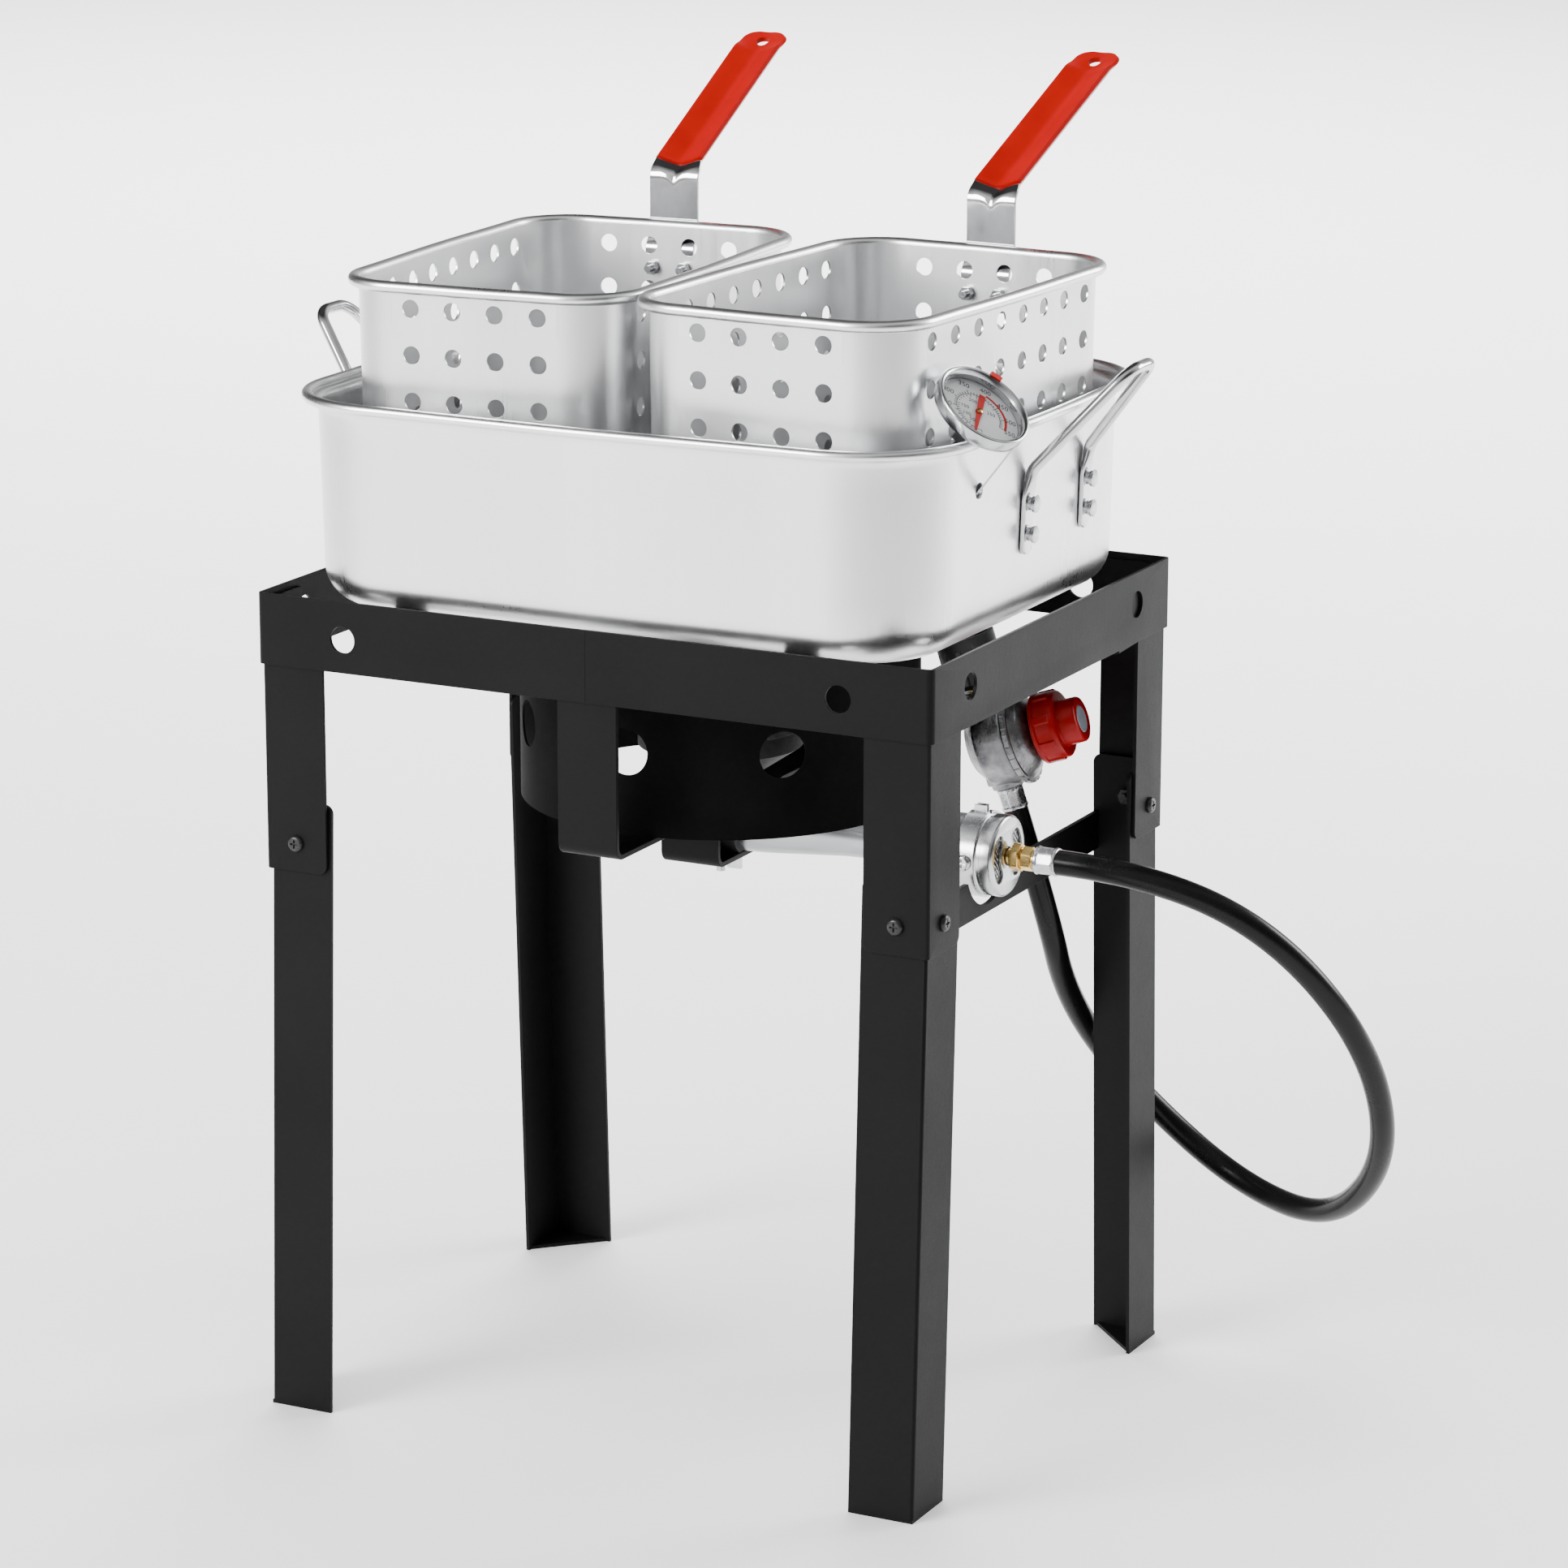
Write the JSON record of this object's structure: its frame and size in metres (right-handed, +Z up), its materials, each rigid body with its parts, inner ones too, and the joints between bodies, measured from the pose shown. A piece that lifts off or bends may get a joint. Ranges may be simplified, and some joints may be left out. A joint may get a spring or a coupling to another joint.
{
  "type": "propane fish fryer with stand",
  "caption": "Rectangular aluminium frying pan with perforated lift-out baskets on a four-legged black steel stand, with a gas burner, hose and regulator.",
  "frame": {"origin": "on the floor under the middle of the stand", "axes": "+X to the right along the long side, +Y to the rear where the basket handles point, +Z up"},
  "size_m": [0.6088, 0.4332, 0.7311],
  "materials": {
    "black_steel": "black powder coat, satin",
    "burner_iron": "bare casting, dark",
    "bright_tube": "polished casting",
    "shutter_metal": "turned, satin",
    "pan_aluminium": "brushed",
    "chrome_rod": "bright",
    "bright_steel": "bright zinc plate",
    "black_screw": "black oxide",
    "brass": "machined",
    "die_cast": "raw zinc casting",
    "hose_rubber": "smooth, slightly shiny",
    "knob_red": "glossy",
    "cap_grey": "matt",
    "grip_red": "dipped vinyl",
    "seal_rubber": "matt",
    "case_steel": "satin stainless",
    "dial_face": "printed metal",
    "lens": "clear",
    "needle_red": "painted"
  },
  "bodies": {
    "stand": {"top_band": "black_steel", "upper_leg_fl": "black_steel", "upper_leg_fr": "black_steel", "upper_leg_rl": "black_steel", "upper_leg_rr": "black_steel", "lower_leg_fl": "black_steel", "lower_leg_fr": "black_steel", "lower_leg_rl": "black_steel", "lower_leg_rr": "black_steel", "leg_screws": "black_screw", "leg_nuts": "bright_steel", "tube_rest": "black_steel", "burner_strap": "black_steel", "wind_guard": "black_steel", "pan_bars": "black_steel", "burner_head": "burner_iron", "burner_bolt": "bright_steel", "wing_nut": "bright_steel", "venturi_tube": "bright_tube", "orifice_fitting": "brass", "hose_coupling": "brass", "burner_ferrule": "bright_steel", "hose": "hose_rubber", "regulator_ferrule": "bright_steel", "regulator_body": "die_cast", "diaphragm": "seal_rubber", "regulator_bonnet": "die_cast", "regulator_spring": "bright_steel", "inlet_stem": "bright_steel", "regulator_hanger": "black_steel"},
    "shutter": {"air_shutter": "shutter_metal", "shutter_mesh": "bright_steel", "shutter_clamp": "shutter_metal", "shutter_screw": "bright_steel"},
    "knob": {"regulator_knob": "knob_red", "knob_cap": "cap_grey", "adjusting_screw": "bright_steel"},
    "cylinder_nut": {"inlet_nut": "seal_rubber"},
    "pan": {"pan": "pan_aluminium", "pan_rivets": "pan_aluminium", "pan_handle_left": "chrome_rod", "pan_handle_right": "chrome_rod", "thermometer_case": "case_steel", "thermometer_glass": "lens", "thermometer_dial": "dial_face", "thermometer_neck": "case_steel", "thermometer_stem": "case_steel", "thermometer_clip": "case_steel"},
    "needle": {"thermometer_needle": "needle_red"},
    "marker": {"thermometer_marker": "knob_red"},
    "basket_l": {"basket_left": "pan_aluminium", "basket_handle_left": "chrome_rod", "basket_grip_left": "grip_red", "basket_bolts_left": "bright_steel", "basket_nuts_left": "bright_steel"},
    "basket_r": {"basket_right": "pan_aluminium", "basket_handle_right": "chrome_rod", "basket_grip_right": "grip_red", "basket_bolts_right": "bright_steel", "basket_nuts_right": "bright_steel"}
  },
  "joints": [
    {"name": "pan_lift", "type": "slide", "parent": "stand", "child": "pan", "axis": [0, 0, 1], "range_m": [0, 0.3]},
    {"name": "basket_left_lift", "type": "slide", "parent": "pan", "child": "basket_l", "axis": [0, 0, 1], "range_m": [0, 0.22]},
    {"name": "basket_right_lift", "type": "slide", "parent": "pan", "child": "basket_r", "axis": [0, 0, 1], "range_m": [0, 0.22]},
    {"name": "needle_turn", "type": "hinge", "parent": "pan", "child": "needle", "pos_m": [0.198, -0.084, 0.59], "axis": [0.6359, -0.1635, 0.7543], "range_deg": [-99, 204]},
    {"name": "marker_turn", "type": "hinge", "parent": "pan", "child": "marker", "pos_m": [0.198, -0.084, 0.59], "axis": [0.6359, -0.1635, 0.7543], "continuous": true},
    {"name": "air_shutter_turn", "type": "hinge", "parent": "stand", "child": "shutter", "pos_m": [0.165, 0, 0.325], "axis": [1, 0, 0], "range_deg": [-90, 90]},
    {"name": "regulator_knob_turn", "type": "hinge", "parent": "stand", "child": "knob", "pos_m": [0.125, 0.093, 0.3636], "axis": [0.9418, 0.1324, 0.309], "range_deg": [-160, 160]},
    {"name": "cylinder_nut_turn", "type": "hinge", "parent": "stand", "child": "cylinder_nut", "pos_m": [0.11123, 0.09106, 0.4064], "axis": [-0.306, -0.043, 0.9511], "continuous": true}
  ]
}
